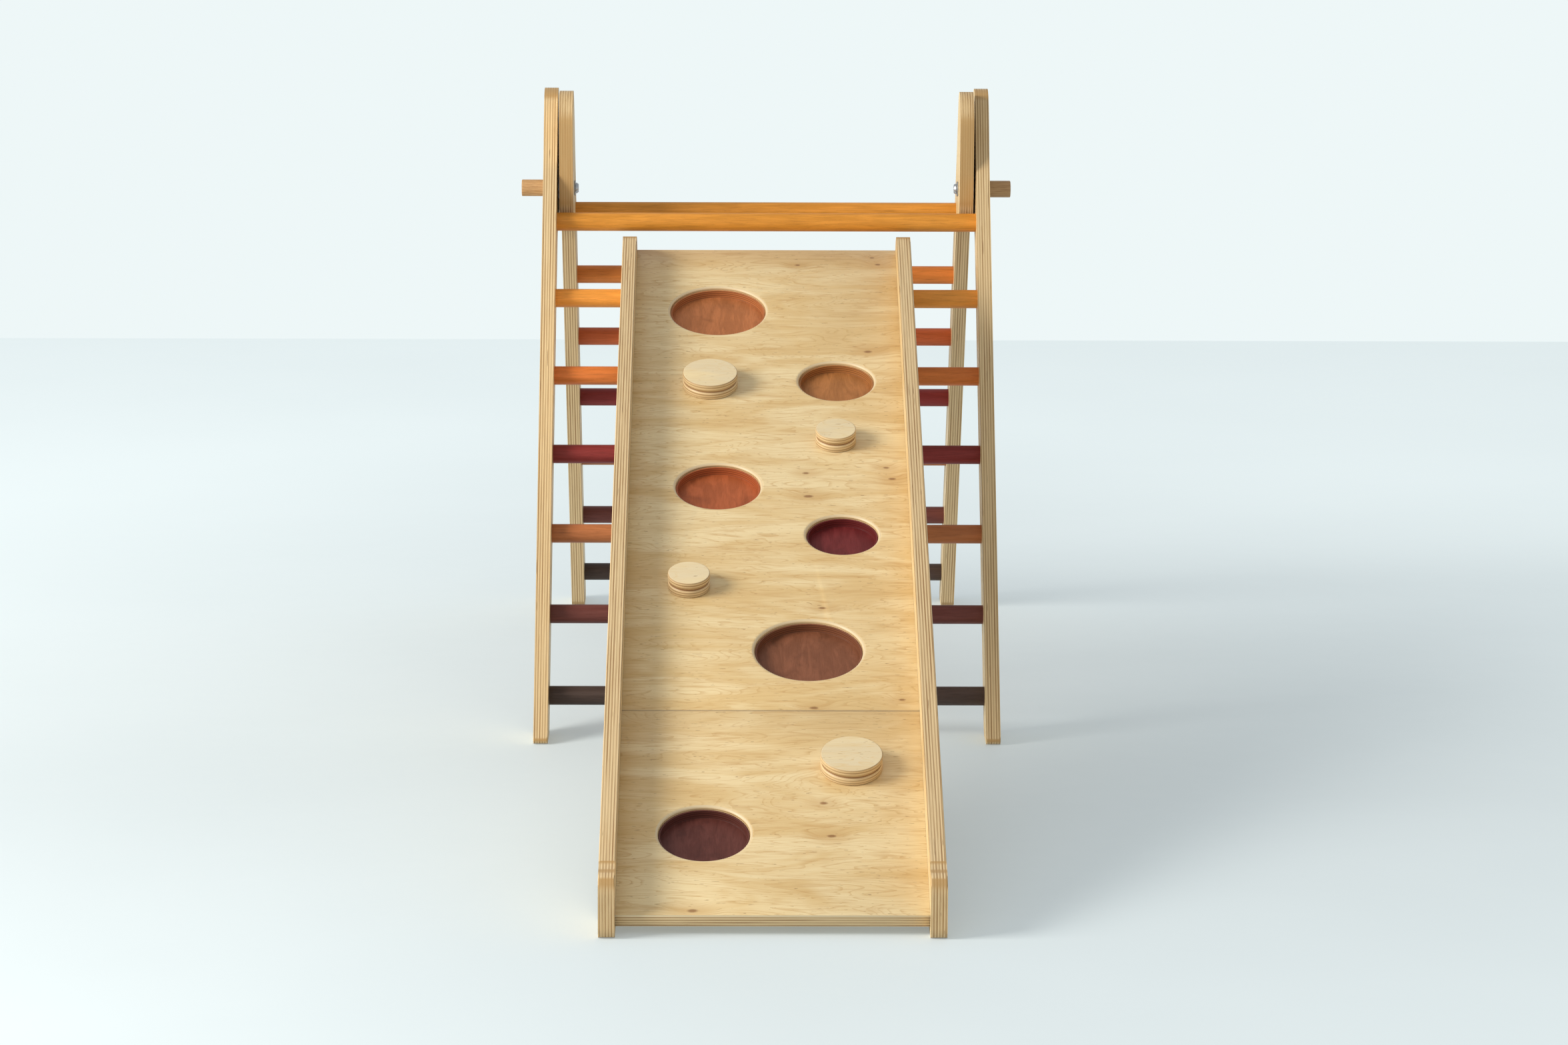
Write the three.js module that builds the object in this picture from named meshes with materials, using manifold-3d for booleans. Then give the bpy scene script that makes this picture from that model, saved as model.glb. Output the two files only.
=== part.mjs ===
// A wooden climbing frame with a slide hooked on it, in millimetres.
// +Z is up and the slide runs down towards -Y. Two ladders cross like scissors on a pair of clamp
// bolts. The slide's side rails hook over the second rung of the front ladder and stand on the floor.
// The origin is on the floor, under the middle of the whole object.

import * as THREE from 'three';
import Module from 'manifold-3d';
import { mergeVertices } from 'three/addons/utils/BufferGeometryUtils.js';

const wasm = await Module();
wasm.setup();

// ---- driving dimensions ----

const PLY = 18; // thickness of every side rail
const GAP = 0.3; // clearance left between touching pieces

// ladders
const PIVOT_HEIGHT = 646;
const SPREAD = THREE.MathUtils.degToRad(33); // lean of each ladder from upright
const FRAME_WIDTH = 586; // outside the front ladder
const LADDER_GAP = 3; // between a front rail and the rear rail inside it
const LEG_WIDTH = 62;
const RUNG_LINE = 31; // rung centres stand this far outside the pivot
const HEAD_RADIUS = 54; // round of the rail about the pivot
const CROWN_RADIUS = 40; // round of the rail's top end
const CROWN_RISE = 88; // centre of that round above the pivot, along the rail
const FOOT_ROUND = 14;
const RUNG_RADIUS = 12;
const RUNG_COUNT = 7;
const FIRST_RUNG = 65; // below the pivot, along the rail
const RUNG_PITCH = 111;
const SOCKET_DEPTH = 9;
const ROUND_STEPS = 12; // sides of a rung and of its socket

// pivot hardware
const BOLT_RADIUS = 4;
const BOLT_HEAD_RADIUS = 7;
const BOLT_HEAD = 3.6;
const BOLT_IN_KNOB = 18;
const WASHER_RADIUS = 10;
const WASHER = 1.6;
const SPACER_RADIUS = 14;
const KNOB_RADIUS = 11;
const KNOB_LENGTH = 30;

// slide, in its own frame: x across, y uphill from the hooked rung, z square to the slide
const SLOPE = THREE.MathUtils.degToRad(21.8);
const SLIDE_WIDTH = 375; // outside the side rails
const HOOK_RUNG = 1; // index of the rung that carries the slide
const RIM = 70; // top edge of a side rail above the rung's centre
const UNDERSIDE = -16; // bottom edge of a side rail
const SLIDE_TOP = 77; // uphill end
const TOP_ROUND = 50;
const TOE_HEIGHT = 70; // the blunt nose of a side rail over the floor
const TOE_REACH = 1326; // nose in front of the hooked rung, level
const TOE_FLAT = 22; // level stretch behind the nose
const HOOK_CLEARANCE = 1;
const BOARD = 15; // thickness of the sliding board
const BOARD_DROP = 40; // board below the rim
const BOARD_TOE = -1400; // downhill end of the board
const SEAM = -1007; // joint between the two boards
const GROOVE = 6; // depth of the groove that holds the board
const BATTEN_WIDTH = 60;
const BATTEN = 12;

// round pockets in the board: place across, place along, radius, colour
const POCKETS = [
  { name: 'pocket_1_copper', x: -63, y: -84, radius: 61, color: 0x9c5a34 },
  { name: 'pocket_2_ochre', x: 86.5, y: -263, radius: 47, color: 0x9a6430 },
  { name: 'pocket_3_rust', x: -61.5, y: -517, radius: 51.5, color: 0x8f4426 },
  { name: 'pocket_4_crimson', x: 88, y: -628, radius: 43, color: 0x6b1f22 },
  { name: 'pocket_5_chestnut', x: 44.7, y: -880, radius: 62.5, color: 0x6d3a26 },
  { name: 'pocket_6_plum', x: -74.6, y: -1247, radius: 50.5, color: 0x4a211f },
];
const POCKET_DEPTH = 14;
const STAIN_DROP = 4.5; // top of the coloured cup below the board's face
const CUP_WALL = 2;
const CUP_FLANGE = 9; // flange beyond the pocket, under the board
const CUP_FLANGE_THICKNESS = 4;
const MOUTH_ROUND = 3;

// climbing holds screwed on the board
const HOLDS = [
  { name: 'hold_1', x: -72.3, y: -277, radius: 34.5 },
  { name: 'hold_2', x: 83.3, y: -414, radius: 25 },
  { name: 'hold_3', x: -95.2, y: -746, radius: 25 },
  { name: 'hold_4', x: 89.7, y: -1122, radius: 35 },
];
const HOLD_HEIGHT = 20;
const HOLD_GROOVE = 2.5; // depth of the finger groove round a hold
const SCREW_RADIUS = 2.5;
const SCREW_HEAD_RADIUS = 5;
const SCREW_HEAD = 2.5;
const SCREW_BITE = 14; // how far a screw enters a hold

const COLORS = {
  ply: 0xd9b988,
  board: 0xe3c48f,
  steel: 0xb8bcc0,
  rungs: [0xd98a2b, 0xd07a2c, 0xb9532a, 0x6e1e2a, 0x8a3e24, 0x4c2026, 0x33221f],
};

// ---- helpers ----

function material(color, roughness = 0.55, metalness = 0) {
  return new THREE.MeshStandardMaterial({ color, roughness, metalness });
}

function toSolid(geometry) {
  const bare = geometry.clone();
  bare.deleteAttribute('normal');
  bare.deleteAttribute('uv');
  const merged = mergeVertices(bare, 1e-4);
  return new wasm.Manifold(new wasm.Mesh({
    numProp: 3,
    vertProperties: merged.attributes.position.array,
    triVerts: new Uint32Array(merged.index.array),
  }));
}

function toGeometry(solid) {
  const mesh = solid.getMesh();
  const geometry = new THREE.BufferGeometry();
  geometry.setAttribute('position', new THREE.BufferAttribute(mesh.vertProperties, 3));
  geometry.setIndex(new THREE.BufferAttribute(mesh.triVerts, 1));
  geometry.computeVertexNormals();
  return geometry;
}

function cut(geometry, tools) {
  const start = toSolid(geometry);
  return toGeometry(tools.reduce((solid, tool) => solid.subtract(toSolid(tool)), start));
}

// A round piece about x: radii and stations along x, from the profile's first to its last pair.
function turnedAlongX(profile, segments) {
  const points = profile.map(([radius, along]) => new THREE.Vector2(radius, along));
  return new THREE.LatheGeometry(points, segments).rotateZ(-Math.PI / 2);
}

// A round piece about z, from a profile of radius and height.
function turnedAlongZ(profile, segments) {
  const points = profile.map(([radius, height]) => new THREE.Vector2(radius, height));
  return new THREE.LatheGeometry(points, segments).rotateX(Math.PI / 2);
}

function rodAlongX(radius, from, to, segments) {
  return turnedAlongX([[0, from], [radius, from], [radius, to], [0, to]], segments);
}

function block(x, y, z) {
  const [x0, x1] = x;
  const [y0, y1] = y;
  const [z0, z1] = z;
  const box = new THREE.BoxGeometry(x1 - x0, y1 - y0, z1 - z0);
  return box.translate((x0 + x1) / 2, (y0 + y1) / 2, (z0 + z1) / 2);
}

// An outline drawn in y and z, given thickness along x from x0.
function plate(shape, x0, thickness) {
  const steps = { depth: thickness, bevelEnabled: false, curveSegments: 8 };
  const geometry = new THREE.ExtrudeGeometry(shape, steps);
  const turn = new THREE.Matrix4().set(0, 0, 1, 0, 1, 0, 0, 0, 0, 1, 0, 0, 0, 0, 0, 1);
  return geometry.applyMatrix4(turn).translate(x0, 0, 0);
}

function addMesh(parent, name, geometry, look) {
  const mesh = new THREE.Mesh(geometry, look);
  mesh.name = name;
  parent.add(mesh);
  return mesh;
}

// ---- ladders: x across, y outwards from the pivot, z up along the rail ----

function floorAt(y) {
  return -(PIVOT_HEIGHT + y * Math.sin(SPREAD)) / Math.cos(SPREAD);
}

function railOutline() {
  const reach = Math.hypot(RUNG_LINE, CROWN_RISE);
  const lean = Math.atan2(CROWN_RISE, RUNG_LINE);
  const tangent = lean + Math.acos((HEAD_RADIUS - CROWN_RADIUS) / reach);
  const headEnd = THREE.MathUtils.degToRad(255);
  const crownOuter = RUNG_LINE + CROWN_RADIUS;
  const shape = new THREE.Shape();
  shape.moveTo(0, floorAt(0) + FOOT_ROUND);
  shape.quadraticCurveTo(0, floorAt(0), FOOT_ROUND, floorAt(FOOT_ROUND));
  shape.lineTo(LEG_WIDTH - FOOT_ROUND, floorAt(LEG_WIDTH - FOOT_ROUND));
  shape.quadraticCurveTo(LEG_WIDTH, floorAt(LEG_WIDTH), LEG_WIDTH, floorAt(LEG_WIDTH) + FOOT_ROUND);
  shape.lineTo(LEG_WIDTH, 0);
  shape.bezierCurveTo(LEG_WIDTH, 40, crownOuter, 50, crownOuter, CROWN_RISE);
  shape.absarc(RUNG_LINE, CROWN_RISE, CROWN_RADIUS, 0, tangent, false);
  shape.absarc(0, 0, HEAD_RADIUS, tangent, headEnd, false);
  shape.quadraticCurveTo(0, -HEAD_RADIUS - 2, 0, -HEAD_RADIUS - 40);
  return shape;
}

function rungHeight(index) {
  return -(FIRST_RUNG + index * RUNG_PITCH);
}

// inner is the x of the rail's inner face, side is 1 or -1
function railGeometry(inner, side) {
  const start = side > 0 ? inner : -inner - PLY;
  const tools = [];
  for (let i = 0; i < RUNG_COUNT; i += 1) {
    const ends = [side * (inner - 1), side * (inner + SOCKET_DEPTH)].sort((a, b) => a - b);
    const socket = rodAlongX(RUNG_RADIUS + GAP, ends[0], ends[1], ROUND_STEPS);
    tools.push(socket.translate(0, RUNG_LINE, rungHeight(i)));
  }
  tools.push(rodAlongX(BOLT_RADIUS + GAP, start - 1, start + PLY + 1, 12));
  return cut(plate(railOutline(), start, PLY), tools);
}

// leftSide is the sign of x that ends up on the object's left
function ladder(prefix, inner, leftSide) {
  const group = new THREE.Group();
  for (const [sideName, side] of [['left', leftSide], ['right', -leftSide]]) {
    addMesh(group, `${prefix}_rail_${sideName}`, railGeometry(inner, side), material(COLORS.ply));
  }
  const half = inner + SOCKET_DEPTH - GAP;
  for (let i = 0; i < RUNG_COUNT; i += 1) {
    const rod = rodAlongX(RUNG_RADIUS, -half, half, ROUND_STEPS);
    const rung = addMesh(group, `${prefix}_rung_${i + 1}`, rod, material(COLORS.rungs[i], 0.45));
    rung.position.set(0, RUNG_LINE, rungHeight(i));
  }
  return group;
}

// ---- pivot hardware, drawn for the right side and turned round for the left ----

function pivotSet(side, name) {
  const group = new THREE.Group();
  const outer = FRAME_WIDTH / 2;
  const rearInner = outer - 2 * PLY - LADDER_GAP;
  const washerEnd = rearInner - GAP;
  const headEnd = washerEnd - WASHER - GAP;
  const knobStart = outer + GAP;
  const bore = BOLT_RADIUS + GAP;
  const steel = material(COLORS.steel, 0.3, 1);
  const bolt = turnedAlongX([
    [0, headEnd - BOLT_HEAD], [BOLT_HEAD_RADIUS - 1.5, headEnd - BOLT_HEAD], [BOLT_HEAD_RADIUS, headEnd - 1],
    [BOLT_HEAD_RADIUS, headEnd], [BOLT_RADIUS, headEnd], [BOLT_RADIUS, knobStart + BOLT_IN_KNOB],
    [0, knobStart + BOLT_IN_KNOB],
  ], 16);
  const ring = (radius, from, to) => turnedAlongX([
    [bore, from], [radius, from], [radius, to], [bore, to], [bore, from],
  ], 20);
  const washer = ring(WASHER_RADIUS, washerEnd - WASHER, washerEnd);
  const spacerStart = outer - PLY - LADDER_GAP + GAP;
  const spacer = ring(SPACER_RADIUS, spacerStart, spacerStart + LADDER_GAP - 2 * GAP);
  const knob = turnedAlongX([
    [bore, knobStart], [KNOB_RADIUS, knobStart], [KNOB_RADIUS, knobStart + KNOB_LENGTH - 1.5],
    [KNOB_RADIUS - 1.5, knobStart + KNOB_LENGTH], [0, knobStart + KNOB_LENGTH],
    [0, knobStart + BOLT_IN_KNOB + 1], [bore, knobStart + BOLT_IN_KNOB + 1], [bore, knobStart],
  ], 20);
  addMesh(group, `pivot_bolt_${name}`, bolt, steel);
  addMesh(group, `bolt_washer_${name}`, washer, material(COLORS.steel, 0.3, 1));
  addMesh(group, `spacer_washer_${name}`, spacer, material(COLORS.steel, 0.4, 1));
  addMesh(group, `clamp_knob_${name}`, knob, material(COLORS.ply));
  group.rotation.z = side > 0 ? 0 : Math.PI;
  group.position.z = PIVOT_HEIGHT;
  return group;
}

// ---- slide ----

// Where the slide's frame stands: on the centre of the hooked rung.
function hookPlace() {
  const down = -rungHeight(HOOK_RUNG);
  return {
    y: -down * Math.sin(SPREAD) - RUNG_LINE * Math.cos(SPREAD),
    z: PIVOT_HEIGHT - down * Math.cos(SPREAD) + RUNG_LINE * Math.sin(SPREAD),
  };
}

// A point given level, as distance from the hooked rung and height over the floor, in the slide's frame.
function fromLevel(forward, height) {
  const rise = height - hookPlace().z;
  return [
    -forward * Math.cos(SLOPE) + rise * Math.sin(SLOPE),
    forward * Math.sin(SLOPE) + rise * Math.cos(SLOPE),
  ];
}

function slideRailOutline() {
  const shape = new THREE.Shape();
  const round = 12;
  const notch = RUNG_RADIUS + HOOK_CLEARANCE;
  const heel = (UNDERSIDE * Math.cos(SLOPE) + hookPlace().z) / Math.sin(SLOPE);
  shape.moveTo(-heel, UNDERSIDE);
  shape.lineTo(...fromLevel(TOE_REACH - round, 0));
  shape.quadraticCurveTo(...fromLevel(TOE_REACH, 0), ...fromLevel(TOE_REACH, round));
  shape.lineTo(...fromLevel(TOE_REACH, TOE_HEIGHT - 2 * round));
  const noseTop = fromLevel(TOE_REACH - 2 * round, TOE_HEIGHT);
  shape.quadraticCurveTo(...fromLevel(TOE_REACH, TOE_HEIGHT), ...noseTop);
  const [toeY] = fromLevel(TOE_REACH - 2 * round - TOE_FLAT, TOE_HEIGHT);
  shape.quadraticCurveTo(...fromLevel(TOE_REACH - 2 * round - 12, TOE_HEIGHT), toeY, RIM);
  shape.lineTo(SLIDE_TOP - TOP_ROUND, RIM);
  shape.absarc(SLIDE_TOP - TOP_ROUND, RIM - TOP_ROUND, TOP_ROUND, Math.PI / 2, 0, true);
  shape.lineTo(SLIDE_TOP, UNDERSIDE + round);
  shape.quadraticCurveTo(SLIDE_TOP, UNDERSIDE, SLIDE_TOP - round, UNDERSIDE);
  shape.lineTo(notch, UNDERSIDE);
  shape.lineTo(notch, 0);
  shape.absarc(0, 0, notch, 0, Math.PI, false);
  shape.lineTo(-notch, UNDERSIDE);
  return shape;
}

function slideRail(side) {
  const inner = SLIDE_WIDTH / 2 - PLY;
  const start = side > 0 ? inner : -inner - PLY;
  const board = RIM - BOARD_DROP;
  const across = [side * (inner - 1), side * (inner + GROOVE)].sort((a, b) => a - b);
  const groove = block(across, [BOARD_TOE - 2, SLIDE_TOP + 1], [board - BOARD - GAP, board + GAP]);
  return cut(plate(slideRailOutline(), start, PLY), [groove]);
}

function pocketCutter(radius) {
  const face = RIM - BOARD_DROP;
  return turnedAlongZ([
    [0, face - BOARD - 1], [radius, face - BOARD - 1], [radius, face - MOUTH_ROUND],
    [radius + MOUTH_ROUND * 0.3, face - MOUTH_ROUND * 0.3], [radius + MOUTH_ROUND, face],
    [radius + MOUTH_ROUND, face + 1], [0, face + 1],
  ], 24);
}

function boardGeometry(from, to) {
  const face = RIM - BOARD_DROP;
  const half = SLIDE_WIDTH / 2 - PLY + GROOVE - GAP;
  const inside = (item) => item.y > from && item.y < to;
  const tools = [
    ...POCKETS.filter(inside).map((p) => pocketCutter(p.radius).translate(p.x, p.y, 0)),
    ...HOLDS.filter(inside).map((h) => turnedAlongZ([
      [0, face - BOARD - 1], [SCREW_RADIUS + GAP, face - BOARD - 1],
      [SCREW_RADIUS + GAP, face + 1], [0, face + 1],
    ], 10).translate(h.x, h.y, 0)),
  ];
  return cut(block([-half, half], [from, to], [face - BOARD, face]), tools);
}

function cupGeometry(radius) {
  const face = RIM - BOARD_DROP;
  const under = face - BOARD - GAP;
  const outer = radius - GAP;
  const floor = face - POCKET_DEPTH;
  return turnedAlongZ([
    [0, under - CUP_FLANGE_THICKNESS], [radius + CUP_FLANGE, under - CUP_FLANGE_THICKNESS],
    [radius + CUP_FLANGE, under], [outer, under], [outer, face - STAIN_DROP],
    [outer - CUP_WALL, face - STAIN_DROP], [outer - CUP_WALL, floor], [0, floor],
  ], 24);
}

function holdGeometry(radius) {
  const base = RIM - BOARD_DROP + GAP;
  const waist = base + HOLD_HEIGHT * 0.5;
  const top = base + HOLD_HEIGHT;
  const bore = SCREW_RADIUS + GAP;
  const bite = base + SCREW_BITE + 1;
  return turnedAlongZ([
    [bore, base], [radius - 1, base], [radius, base + 1], [radius, waist - HOLD_GROOVE],
    [radius - HOLD_GROOVE, waist], [radius, waist + HOLD_GROOVE], [radius, top - 2.5],
    [radius - 2.5, top], [0, top], [0, bite], [bore, bite], [bore, base],
  ], 24);
}

function holdScrewGeometry() {
  const under = RIM - BOARD_DROP - BOARD - GAP;
  const tip = RIM - BOARD_DROP + SCREW_BITE;
  return turnedAlongZ([
    [0, under - SCREW_HEAD], [SCREW_HEAD_RADIUS, under - SCREW_HEAD], [SCREW_HEAD_RADIUS, under],
    [SCREW_RADIUS, under], [SCREW_RADIUS, tip], [0, tip],
  ], 10);
}

function slide() {
  const group = new THREE.Group();
  const ply = () => material(COLORS.ply);
  addMesh(group, 'slide_rail_left', slideRail(-1), ply());
  addMesh(group, 'slide_rail_right', slideRail(1), ply());
  addMesh(group, 'slide_board_upper', boardGeometry(SEAM + GAP, SLIDE_TOP), material(COLORS.board, 0.4));
  addMesh(group, 'slide_board_lower', boardGeometry(BOARD_TOE, SEAM), material(COLORS.board, 0.4));
  const under = RIM - BOARD_DROP - BOARD - GAP;
  const reach = SLIDE_WIDTH / 2 - PLY - GAP;
  const around = [SEAM - BATTEN_WIDTH / 2, SEAM + BATTEN_WIDTH / 2];
  addMesh(group, 'seam_batten', block([-reach, reach], around, [under - BATTEN, under]), ply());
  for (const pocket of POCKETS) {
    const cup = addMesh(group, pocket.name, cupGeometry(pocket.radius), material(pocket.color, 0.5));
    cup.position.set(pocket.x, pocket.y, 0);
  }
  for (const hold of HOLDS) {
    addMesh(group, hold.name, holdGeometry(hold.radius), ply()).position.set(hold.x, hold.y, 0);
    const screw = addMesh(group, `${hold.name}_screw`, holdScrewGeometry(), material(COLORS.steel, 0.3, 1));
    screw.position.set(hold.x, hold.y, 0);
  }
  const place = hookPlace();
  group.position.set(0, place.y, place.z);
  group.rotation.x = SLOPE;
  return group;
}

// ---- assembly ----

function build() {
  const whole = new THREE.Group();
  const frontInner = FRAME_WIDTH / 2 - PLY;
  const front = ladder('front', frontInner, 1);
  const rear = ladder('rear', frontInner - LADDER_GAP - PLY, -1);
  front.rotation.x = SPREAD;
  rear.rotation.x = SPREAD;
  const frontTurned = new THREE.Group();
  frontTurned.rotation.z = Math.PI;
  frontTurned.add(front);
  for (const piece of [frontTurned, rear]) piece.position.z = PIVOT_HEIGHT;
  whole.add(frontTurned, rear, pivotSet(-1, 'left'), pivotSet(1, 'right'), slide());
  const box = new THREE.Box3().setFromObject(whole, true);
  whole.position.y = -(box.min.y + box.max.y) / 2;
  const root = new THREE.Group();
  root.add(whole);
  return root;
}

export default build();
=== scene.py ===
"""The looks of a wooden climbing frame with a slide hooked on it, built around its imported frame.

Every piece is modelled in millimetres in the frame of the part it belongs to (a ladder or the slide),
then set in the row frame in metres, with its place in its mesh.
Ladder frame: x across, y out from the pivot, z up the rail.
Slide frame: x across, y uphill from the hooked rung, z square to the board.
"""

import math

import bmesh
import bpy
from mathutils import Matrix, Vector


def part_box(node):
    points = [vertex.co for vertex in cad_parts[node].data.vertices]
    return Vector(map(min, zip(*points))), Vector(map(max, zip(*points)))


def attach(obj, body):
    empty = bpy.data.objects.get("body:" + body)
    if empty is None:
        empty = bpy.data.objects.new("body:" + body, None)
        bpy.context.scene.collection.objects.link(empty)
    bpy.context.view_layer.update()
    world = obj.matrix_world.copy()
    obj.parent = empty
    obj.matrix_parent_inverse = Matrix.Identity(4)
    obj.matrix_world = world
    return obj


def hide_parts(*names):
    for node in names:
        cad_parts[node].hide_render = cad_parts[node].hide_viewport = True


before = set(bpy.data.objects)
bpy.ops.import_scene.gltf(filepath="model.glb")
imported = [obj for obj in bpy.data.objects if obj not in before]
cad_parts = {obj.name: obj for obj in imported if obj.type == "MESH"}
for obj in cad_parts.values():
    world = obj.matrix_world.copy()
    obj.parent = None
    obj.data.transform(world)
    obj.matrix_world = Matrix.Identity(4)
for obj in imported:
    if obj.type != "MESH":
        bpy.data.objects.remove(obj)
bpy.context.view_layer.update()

MM = 0.001

# ---- dimensions shared with the CAD, in millimetres ----

PLY = 18
GAP = 0.3
PIVOT_HEIGHT = 646
SPREAD = math.radians(33)
FRAME_WIDTH = 586
LADDER_GAP = 3
LEG_WIDTH = 62
RUNG_LINE = 31
HEAD_RADIUS = 54
CROWN_RADIUS = 40
CROWN_RISE = 88
FOOT_ROUND = 14
FLARE_LOW = 40  # the rail's outer edge swells into the crown between these heights over the pivot
FLARE_HIGH = 50
RUNG_RADIUS = 12
RUNG_COUNT = 7
FIRST_RUNG = 65
RUNG_PITCH = 111
SOCKET_DEPTH = 9

BOLT_RADIUS = 4
BOLT_HEAD_RADIUS = 7
BOLT_HEAD = 3.6
BOLT_IN_KNOB = 18
WASHER_RADIUS = 10
WASHER = 1.6
SPACER_RADIUS = 14
KNOB_RADIUS = 11
KNOB_LENGTH = 30

SLOPE = math.radians(21.8)
SLIDE_WIDTH = 375
HOOK_RUNG = 1
RIM = 70
UNDERSIDE = -16
SLIDE_TOP = 77
TOP_ROUND = 50
TOE_HEIGHT = 70
TOE_REACH = 1326
TOE_FLAT = 22
TOE_ROUND = 12
HOOK_CLEARANCE = 1
BOARD = 15
FACE = 30  # the board's upper face above the hooked rung's centre
BOARD_TOE = -1400
SEAM = -1007
GROOVE = 6
BATTEN_WIDTH = 60
BATTEN = 12
POCKET_DEPTH = 14
STAIN_DROP = 4.5
CUP_WALL = 2
CUP_FLANGE = 9
CUP_FLANGE_THICKNESS = 4
MOUTH_ROUND = 4.5  # 1.5 more than in the CAD, as wide as the pale rim looks
HOLD_HEIGHT = 20
HOLD_GROOVE = 2.5
SCREW_RADIUS = 2.5
SCREW_HEAD_RADIUS = 5
SCREW_HEAD = 2.5
SCREW_BITE = 14

# ---- dimensions of the looks alone ----

PLY_EDGE_ROUND = 1.5
BOARD_EDGE_ROUND = 0.7
BATTEN_EDGE_ROUND = 1.2
SMOOTH_ANGLE = 38  # degrees between faces that still shade as one surface
HOLD_SMOOTH_ANGLE = 50
ROD_SEGMENTS = 48
DISC_SEGMENTS = 96

# place across, place along, radius
POCKETS = {
    "pocket_1_copper": (-63, -84, 61),
    "pocket_2_ochre": (86.5, -263, 47),
    "pocket_3_rust": (-61.5, -517, 51.5),
    "pocket_4_crimson": (88, -628, 43),
    "pocket_5_chestnut": (44.7, -880, 62.5),
    "pocket_6_plum": (-74.6, -1247, 50.5),
}
HOLDS = {
    "hold_1": (-72.3, -277, 34.5),
    "hold_2": (83.3, -414, 25),
    "hold_3": (-95.2, -746, 25),
    "hold_4": (89.7, -1122, 35),
}

# small knots in the veneer of the board: place across, place along, size
KNOTS = [
    (40, 36, 3.5), (138, 56, 3.0), (146, 38, 3.5), (46, -487, 4.0), (48, -541, 5.0), (144, -474, 3.5),
    (151, -500, 4.0), (128, -190, 5.0), (62, -791, 4.0), (150, -984, 3.5), (49, -1001, 4.5),
    (58, -1190, 4.0), (65, -1253, 4.5), (-86, -1392, 5.0), (50, -265, 4.0),
]

STAINS = {
    "amber": (0.57, 0.228, 0.028),
    "tangerine": (0.67, 0.265, 0.042),
    "orange_red": (0.56, 0.155, 0.030),
    "crimson": (0.195, 0.021, 0.018),
    "rust": (0.40, 0.135, 0.045),
    "plum": (0.125, 0.034, 0.026),
    "umber": (0.052, 0.031, 0.024),
    # redder, darker copies of two stains for the rear rods: partly real tint, partly painted shade
    "tangerine_tint_and_shade": (0.60, 0.185, 0.034),
    "orange_red_tint_and_shade": (0.47, 0.098, 0.026),
}
# two stains turn redder and darker on the rear ladder's rods: partly a redder wood, partly painted shade and
# warm bounce light
REAR_TINT_AND_SHADE = {"tangerine": "tangerine_tint_and_shade", "orange_red": "orange_red_tint_and_shade"}
RUNG_STAINS = ["amber", "tangerine", "orange_red", "crimson", "rust", "plum", "umber"]
CUP_STAINS = {
    "copper": (0.37, 0.128, 0.043),
    "ochre": (0.32, 0.125, 0.036),
    "rust": (0.335, 0.083, 0.026),
    "crimson": (0.118, 0.0135, 0.0135),
    "chestnut": (0.175, 0.061, 0.028),
    "plum": (0.094, 0.026, 0.019),
}

PALE = (0.77, 0.61, 0.345)
HONEY = (0.66, 0.465, 0.215)
TOASTED = (0.50, 0.285, 0.095)
# sloping and rounded ends of plywood: darker end grain and painted shade
END_GRAIN_AND_SHADE = (0.41, 0.235, 0.08)
# dark flecks in the wood, also used as painted shade in the holds' grooves
FLECK_AND_SHADE = (0.23, 0.105, 0.036)
KNOT = (0.22, 0.092, 0.028)
CREAM = (0.69, 0.565, 0.36)
# the plywood's light and dark layers and the glue between them
LAYER_LIGHT = (0.72, 0.54, 0.30)
LAYER_DARK = (0.27, 0.145, 0.055)
GLUE = (0.14, 0.068, 0.026)
PLY_LAYER = 1.636
BOARD_LAYER = 1.67
CUP_LAYERS = 2.72  # one light and one dark layer of a pocket's tinted wall

# ---- studio, in metres, watts and degrees ----

ROOM_COLOUR = (0.93, 0.97, 1.0, 1)
ROOM_STRENGTH = 0.57
WALL_COLOUR = (0.855, 0.93, 0.935, 1)
FLOOR_CORNERS = [(-7, -7.5), (7, -7.5), (7, 3.6), (-7, 3.6)]
FLOOR_COLOURS = ((0.49, 0.54, 0.555), (0.51, 0.56, 0.575))
FLOOR_GLOW_NEAR = (0.20, 0.225, 0.23)
FLOOR_GLOW_FAR = (0.40, 0.445, 0.445)
FLOOR_GLOW_REACH = (500, 3600)
GLOW_CENTRE_Y = -300
WINDOW = ((-4.5, -2.1, 2.65), (0, 0, 0.35), (2.4, 2.0), 318, (1.0, 0.96, 0.89))
FRONT_FILL = ((-1.5, -5.5, 3.0), (0, 0, 0.4), (3.0, 2.0), 24, (1.0, 0.98, 0.94))
CAMERA_AT = (-0.04544, -6.38535, 1.41964)
CAMERA_LENS = 119.57
CAMERA_SENSOR = 36
CAMERA_YAW = -0.59
CAMERA_TILT = 79.90
CAMERA_ROLL = 0.22


# ---- placing ----


def pivot():
    """The pivot's y in the row frame, from the clamp bolt, and its height."""
    low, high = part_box("pivot_bolt_left")
    return Vector((0, (low.y + high.y) / 2 / MM, PIVOT_HEIGHT))


def ladder_place(side):
    """side is -1 for the front ladder and 1 for the rear one."""
    turn = Matrix.Rotation(SPREAD, 4, "X")
    if side < 0:
        turn = Matrix.Rotation(math.pi, 4, "Z") @ turn
    return Matrix.Translation(pivot()) @ turn


def rung_height(index):
    return -(FIRST_RUNG + index * RUNG_PITCH)


def hook_place():
    down = -rung_height(HOOK_RUNG)
    along = -down * math.sin(SPREAD) - RUNG_LINE * math.cos(SPREAD)
    height = PIVOT_HEIGHT - down * math.cos(SPREAD) + RUNG_LINE * math.sin(SPREAD)
    return along, height


def slide_place():
    along, height = hook_place()
    at = Vector((0, pivot().y + along, height))
    return Matrix.Translation(at) @ Matrix.Rotation(SLOPE, 4, "X")


# ---- mesh making ----


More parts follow.
